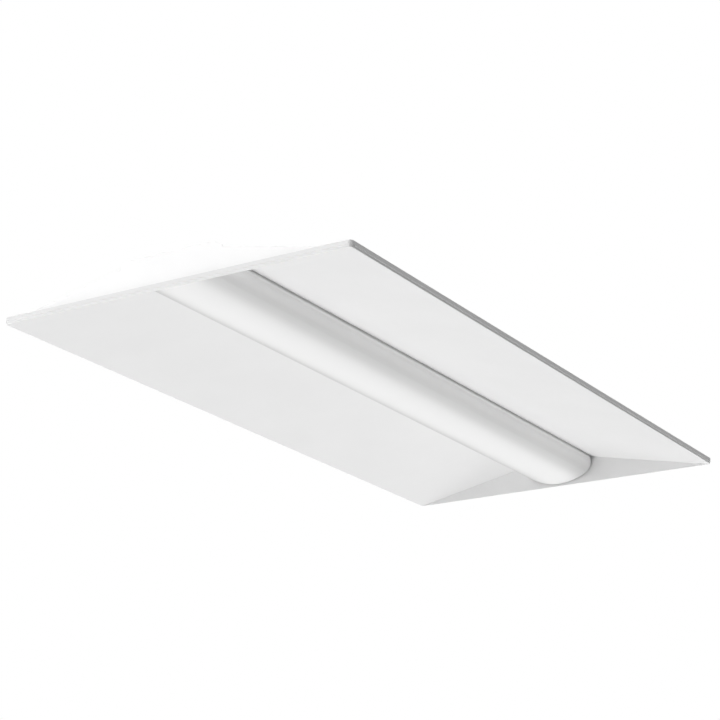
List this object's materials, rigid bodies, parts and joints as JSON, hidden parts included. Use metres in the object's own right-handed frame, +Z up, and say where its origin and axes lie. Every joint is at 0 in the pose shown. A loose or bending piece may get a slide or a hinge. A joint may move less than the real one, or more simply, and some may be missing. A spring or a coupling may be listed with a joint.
{
  "type": "recessed troffer light",
  "caption": "Lay-in ceiling troffer with shallow sloped reflector panels, a rounded central diffuser between upright end plates, a low channel, hinged driver lid and flip-up grid clips.",
  "frame": {"origin": "centre of the light on the plane of the lip underside, which rests on the ceiling grid", "axes": "+X across the short side, +Y along the long side, +Z up into the ceiling"},
  "size_m": [0.6032, 1.2128, 0.0892],
  "materials": {
    "reflector_white": "baked white enamel, semi-gloss",
    "housing_white": "white pre-painted steel",
    "galvanised": "zinc coated steel",
    "diffuser_acrylic": "frosted white acrylic, satin",
    "board_white": "white solder mask",
    "led_phosphor": "yellow phosphor in white cup",
    "zinc_fastener": "zinc plated",
    "driver_case": "white painted steel case",
    "connector_orange": "orange moulded plastic",
    "connector_white": "white moulded plastic",
    "lead_black": "black insulation",
    "lead_white": "white insulation",
    "lead_green": "green insulation",
    "lead_red": "red insulation",
    "bushing_black": "black nylon",
    "ground_green": "green dyed screw",
    "tinned_copper": "tin plated",
    "spring_steel": "bright spring steel"
  },
  "bodies": {
    "fixture": {"side_reflector_left": "reflector_white", "side_reflector_right": "reflector_white", "end_plate_front": "reflector_white", "end_plate_rear": "reflector_white", "end_plate_screws": "zinc_fastener", "channel_top": "housing_white", "channel_rail_left": "housing_white", "channel_rail_right": "housing_white", "channel_rivets": "zinc_fastener", "diffuser_clips": "spring_steel", "led_board_front_left": "board_white", "led_board_front_right": "board_white", "led_board_rear_left": "board_white", "led_board_rear_right": "board_white", "led_packages_left": "led_phosphor", "led_packages_right": "led_phosphor", "board_screws": "zinc_fastener", "board_connectors": "connector_white", "board_links": "connector_white", "driver_tray": "galvanised", "tray_rivets": "zinc_fastener", "lid_hinge_pins": "zinc_fastener", "led_driver": "driver_case", "driver_screws": "zinc_fastener", "disconnect_plug": "connector_orange", "disconnect_socket": "connector_orange", "ground_screw": "ground_green", "ground_terminal": "tinned_copper", "lead_line": "lead_black", "lead_neutral": "lead_white", "lead_ground": "lead_green", "lead_led_positive": "lead_red", "lead_led_negative": "lead_black", "lead_jumper": "lead_white", "lead_bushing": "bushing_black", "clip_brackets": "galvanised", "clip_pins": "zinc_fastener", "hanger_brackets": "galvanised"},
    "diffuser_body": {"diffuser": "diffuser_acrylic"},
    "lid": {"driver_lid": "galvanised", "lid_screws": "zinc_fastener"},
    "grid_clip_front_left_body": {"grid_clip_front_left": "galvanised"},
    "grid_clip_front_right_body": {"grid_clip_front_right": "galvanised"},
    "grid_clip_rear_left_body": {"grid_clip_rear_left": "galvanised"},
    "grid_clip_rear_right_body": {"grid_clip_rear_right": "galvanised"}
  },
  "joints": [
    {"name": "diffuser_drop", "type": "slide", "parent": "fixture", "child": "diffuser_body", "axis": [0, 0, -1], "range_m": [0, 0.09]},
    {"name": "lid_hinge", "type": "hinge", "parent": "fixture", "child": "lid", "pos_m": [-0.0682, 0, 0.0859], "axis": [0, -1, 0], "range_deg": [0, 110]},
    {"name": "grid_clip_front_left_flip", "type": "hinge", "parent": "fixture", "child": "grid_clip_front_left_body", "pos_m": [-0.294, -0.43, 0.00642], "axis": [0, -1, 0], "range_deg": [0, 101.5]},
    {"name": "grid_clip_front_right_flip", "type": "hinge", "parent": "fixture", "child": "grid_clip_front_right_body", "pos_m": [0.294, -0.43, 0.00642], "axis": [0, 1, 0], "range_deg": [0, 101.5]},
    {"name": "grid_clip_rear_left_flip", "type": "hinge", "parent": "fixture", "child": "grid_clip_rear_left_body", "pos_m": [-0.294, 0.43, 0.00642], "axis": [0, -1, 0], "range_deg": [0, 101.5]},
    {"name": "grid_clip_rear_right_flip", "type": "hinge", "parent": "fixture", "child": "grid_clip_rear_right_body", "pos_m": [0.294, 0.43, 0.00642], "axis": [0, 1, 0], "range_deg": [0, 101.5]}
  ]
}
